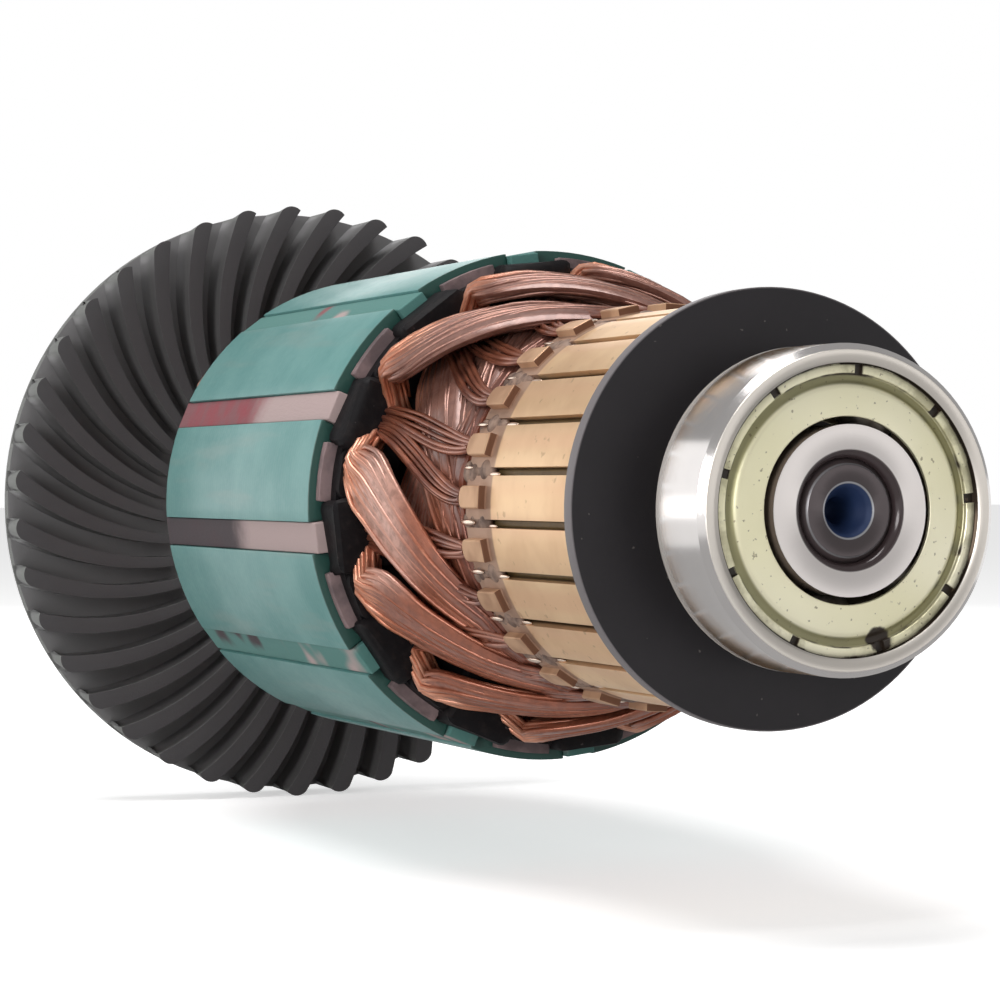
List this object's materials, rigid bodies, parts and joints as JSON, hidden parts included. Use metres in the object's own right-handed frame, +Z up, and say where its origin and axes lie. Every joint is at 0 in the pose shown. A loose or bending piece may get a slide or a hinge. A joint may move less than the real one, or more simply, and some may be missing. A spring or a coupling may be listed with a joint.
{
  "type": "motor armature",
  "caption": "Wound armature of a small universal motor: slotted core, copper coils, hook commutator, cooling fan, dust disc and a shielded ball bearing on a stepped shaft.",
  "frame": {"origin": "centre of the commutator-end bearing, on the shaft axis", "axes": "+X along the shaft out of the commutator end, +Z up, drive end and fan towards -X"},
  "size_m": [0.1227, 0.0503, 0.0504],
  "materials": {
    "ground_steel": "ground",
    "bearing_steel": "polished",
    "ball_steel": "polished",
    "plated_shield": "yellow-green plating, satin",
    "cage_polymer": "satin",
    "core_paint": "teal-green varnish, semi-gloss",
    "fibre": "greyish pink fibre",
    "slot_paper": "fibre paper",
    "wedge_fibre": "maroon fibre",
    "moulded_black": "near-black, satin",
    "moulded_insulation": "dark brown",
    "moulded_resin": "olive brown resin",
    "commutator_copper": "turned copper",
    "winding_copper": "varnished copper wire",
    "disc_black": "satin black with a grey edge",
    "fan_black": "charcoal, satin"
  },
  "bodies": {
    "rotor": {"shaft": "ground_steel", "shaft_sleeve": "moulded_insulation", "core_stack": "core_paint", "end_fibre_front": "fibre", "end_fibre_rear": "fibre", "end_cap_front": "moulded_black", "end_cap_rear": "moulded_black", "slot_liners": "slot_paper", "slot_wedges": "wedge_fibre", "coil_01": "winding_copper", "coil_02": "winding_copper", "coil_03": "winding_copper", "coil_04": "winding_copper", "coil_05": "winding_copper", "coil_06": "winding_copper", "coil_07": "winding_copper", "coil_08": "winding_copper", "coil_09": "winding_copper", "coil_10": "winding_copper", "coil_11": "winding_copper", "coil_12": "winding_copper", "commutator_leads": "winding_copper", "commutator_hub": "moulded_resin", "commutator_bar_01": "commutator_copper", "commutator_bar_02": "commutator_copper", "commutator_bar_03": "commutator_copper", "commutator_bar_04": "commutator_copper", "commutator_bar_05": "commutator_copper", "commutator_bar_06": "commutator_copper", "commutator_bar_07": "commutator_copper", "commutator_bar_08": "commutator_copper", "commutator_bar_09": "commutator_copper", "commutator_bar_10": "commutator_copper", "commutator_bar_11": "commutator_copper", "commutator_bar_12": "commutator_copper", "commutator_bar_13": "commutator_copper", "commutator_bar_14": "commutator_copper", "commutator_bar_15": "commutator_copper", "commutator_bar_16": "commutator_copper", "commutator_bar_17": "commutator_copper", "commutator_bar_18": "commutator_copper", "commutator_bar_19": "commutator_copper", "commutator_bar_20": "commutator_copper", "commutator_bar_21": "commutator_copper", "commutator_bar_22": "commutator_copper", "commutator_bar_23": "commutator_copper", "commutator_bar_24": "commutator_copper", "dust_disc": "disc_black", "fan": "fan_black", "bearing_inner_ring": "bearing_steel"},
    "bearing_shell": {"bearing_outer_ring": "bearing_steel", "bearing_shield_front": "plated_shield", "bearing_shield_rear": "plated_shield"},
    "ball_train": {"bearing_balls": "ball_steel", "bearing_cage": "cage_polymer"}
  },
  "joints": [
    {"name": "bearing_spin", "type": "hinge", "parent": "rotor", "child": "bearing_shell", "pos_m": [0, 0, 0], "axis": [1, 0, 0], "continuous": true},
    {"name": "ball_orbit", "type": "hinge", "parent": "rotor", "child": "ball_train", "pos_m": [0, 0, 0], "axis": [1, 0, 0], "continuous": true}
  ],
  "couplings": [
    {"joint": "ball_orbit", "follows": "bearing_spin", "ratio": 0.6387}
  ]
}
